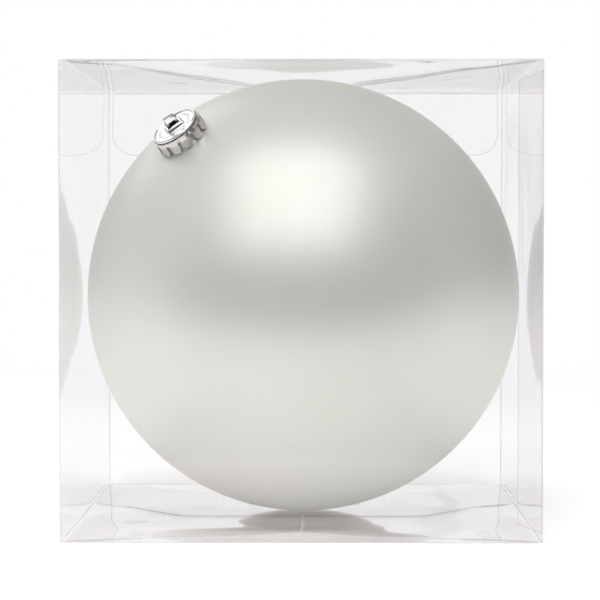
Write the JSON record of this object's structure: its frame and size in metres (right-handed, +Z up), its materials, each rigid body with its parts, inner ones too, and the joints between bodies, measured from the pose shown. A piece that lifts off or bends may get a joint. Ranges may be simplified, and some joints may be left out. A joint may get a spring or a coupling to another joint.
{
  "type": "glass ball ornament in a clear folding box",
  "caption": "Pearl white glass ball ornament with a metal crown cap and wire hanging loop, standing in its clear folding display box with a tuck lid.",
  "frame": {"origin": "centre of the box's bottom face, which the object stands on", "axes": "+Z up; the box's front wall, on which the lid is hinged, faces -Y; +X to the right seen from the front"},
  "size_m": [0.2022, 0.2022, 0.2022],
  "materials": {
    "pearl_glass": "satin pearl lacquer on blown glass",
    "cap_metal": "bright stamped metal",
    "hanger_wire": "bright drawn wire",
    "clear_film": "clear polyester film, glossy, creased and die-cut"
  },
  "bodies": {
    "box": {"front_panel": "clear_film", "back_panel": "clear_film", "left_panel": "clear_film", "right_panel": "clear_film", "glue_flap": "clear_film", "bottom_left_flap": "clear_film", "bottom_right_flap": "clear_film", "bottom_front_flap": "clear_film", "bottom_back_flap": "clear_film"},
    "lid": {"lid_panel": "clear_film"},
    "tuck": {"tuck_flap": "clear_film"},
    "left_dust": {"left_dust_flap": "clear_film"},
    "right_dust": {"right_dust_flap": "clear_film"},
    "ornament": {"glass_ball": "pearl_glass"},
    "crown": {"cap": "cap_metal"},
    "wire": {"hanger": "hanger_wire"}
  },
  "joints": [
    {"name": "ornament_lift", "type": "slide", "parent": "box", "child": "ornament", "axis": [0, 0, 1], "range_m": [0, 0.12]},
    {"name": "lid_open", "type": "hinge", "parent": "box", "child": "lid", "pos_m": [0, -0.1011, 0.2022], "axis": [1, 0, 0], "range_deg": [0, 180]},
    {"name": "tuck_unfold", "type": "hinge", "parent": "lid", "child": "tuck", "pos_m": [0, 0.1004, 0.2022], "axis": [1, 0, 0], "range_deg": [0, 90]},
    {"name": "left_dust_open", "type": "hinge", "parent": "box", "child": "left_dust", "pos_m": [-0.1011, 0, 0.2018], "axis": [0, -1, 0], "range_deg": [0, 126]},
    {"name": "right_dust_open", "type": "hinge", "parent": "box", "child": "right_dust", "pos_m": [0.1011, 0, 0.2018], "axis": [0, 1, 0], "range_deg": [0, 126]},
    {"name": "cap_pull", "type": "slide", "parent": "ornament", "child": "crown", "axis": [-0.5255, -0.4731, 0.7071], "range_m": [0, 0.0085]},
    {"name": "hanger_raise", "type": "slide", "parent": "crown", "child": "wire", "axis": [-0.5255, -0.4731, 0.7071], "range_m": [0, 0.006]}
  ],
  "couplings": [
    {"joint": "lid_open", "follows": "ornament_lift", "rad_per_m": 26.18},
    {"joint": "tuck_unfold", "follows": "ornament_lift", "rad_per_m": 13.09},
    {"joint": "left_dust_open", "follows": "ornament_lift", "rad_per_m": 18.326},
    {"joint": "right_dust_open", "follows": "ornament_lift", "rad_per_m": 18.326}
  ]
}
